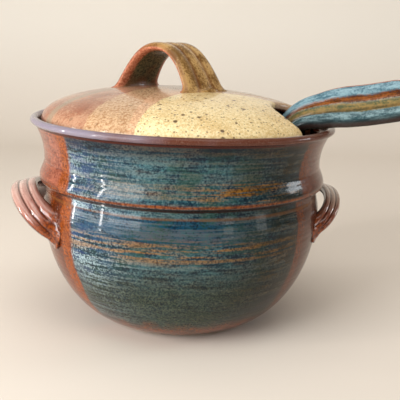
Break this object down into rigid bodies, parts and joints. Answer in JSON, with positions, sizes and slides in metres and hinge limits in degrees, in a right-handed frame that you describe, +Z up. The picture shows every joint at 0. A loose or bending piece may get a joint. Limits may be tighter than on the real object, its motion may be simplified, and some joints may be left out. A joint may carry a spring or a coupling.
{
  "type": "soup kettle",
  "caption": "Lidded stoneware soup kettle with lug handles, an arched lid handle and a ladle that rests in a notch in the lid.",
  "frame": {"origin": "centre of the foot ring, on the surface that the pot stands on", "axes": "+Z up along the pot's axis; +X towards the right lug, about 7 degrees off it; -Y is the front, where the ladle leaves to the right"},
  "size_m": [0.343, 0.2698, 0.2487],
  "materials": {
    "pot_glaze": "gloss",
    "lug_glaze": "gloss",
    "lid_glaze": "satin",
    "lid_handle_glaze": "gloss",
    "ladle_glaze": "gloss"
  },
  "bodies": {
    "pot": {"pot": "pot_glaze", "left_lug": "lug_glaze", "right_lug": "lug_glaze"},
    "lid": {"lid": "lid_glaze", "lid_handle": "lid_handle_glaze"},
    "ladle": {"ladle_bowl": "ladle_glaze", "ladle_handle": "ladle_glaze"}
  },
  "joints": [
    {"name": "lid_lift", "type": "slide", "parent": "pot", "child": "lid", "axis": [0, 0, 1], "range_m": [0, 0.36]},
    {"name": "ladle_lift", "type": "slide", "parent": "pot", "child": "ladle", "axis": [0, 0, 1], "range_m": [0, 0.18]}
  ],
  "couplings": [
    {"joint": "ladle_lift", "follows": "lid_lift", "ratio": 0.5}
  ]
}
